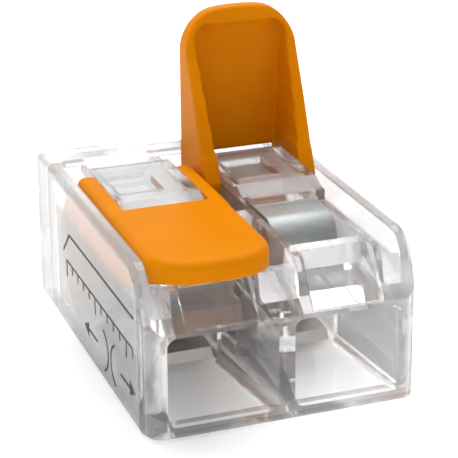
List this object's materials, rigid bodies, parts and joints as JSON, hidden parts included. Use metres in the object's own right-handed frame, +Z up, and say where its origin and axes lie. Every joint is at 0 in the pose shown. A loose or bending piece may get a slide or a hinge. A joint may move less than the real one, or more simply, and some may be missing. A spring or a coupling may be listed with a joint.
{
  "type": "lever wire connector",
  "caption": "Clear wire splice with orange clamping levers over side-by-side funnel entries, a busbar and leaf springs; one lever stands open.",
  "frame": {"origin": "centre of the underside that the connector rests on", "axes": "+X across the poles to the right, +Y from the wire entries to the rear cover, +Z up"},
  "size_m": [0.0132, 0.0186, 0.0156],
  "materials": {
    "clear_plastic": "clear polycarbonate",
    "tinned_copper": "tinned copper strip",
    "spring_steel": "rolled stainless strip",
    "orange_plastic": "moulded, semi-gloss"
  },
  "bodies": {
    "base": {"housing": "clear_plastic", "rear_cover": "clear_plastic", "busbar": "tinned_copper", "spring_left": "spring_steel", "spring_right": "spring_steel"},
    "lever_left": {"lever_left": "orange_plastic"},
    "lever_right": {"lever_right": "orange_plastic"},
    "clamp_leg_left": {"clamp_leg_left": "spring_steel"},
    "clamp_leg_right": {"clamp_leg_right": "spring_steel"}
  },
  "joints": [
    {"name": "lever_left_hinge", "type": "hinge", "parent": "base", "child": "lever_left", "pos_m": [-0.00298, 0.002, 0.0045], "axis": [-1, 0, 0], "range_deg": [0, 90]},
    {"name": "clamp_left_flex", "type": "hinge", "parent": "base", "child": "clamp_leg_left", "pos_m": [-0.00298, -0.003, 0.00625], "axis": [1, 0, 0], "range_deg": [0, 28]},
    {"name": "lever_right_hinge", "type": "hinge", "parent": "base", "child": "lever_right", "pos_m": [0.00298, 0.002, 0.0045], "axis": [1, 0, 0], "range_deg": [0, 90]},
    {"name": "clamp_right_flex", "type": "hinge", "parent": "base", "child": "clamp_leg_right", "pos_m": [0.00298, -0.003, 0.00625], "axis": [-1, 0, 0], "range_deg": [0, 28]}
  ],
  "couplings": [
    {"joint": "clamp_left_flex", "follows": "lever_left_hinge", "ratio": 0.311},
    {"joint": "clamp_right_flex", "follows": "lever_right_hinge", "ratio": 0.311}
  ]
}
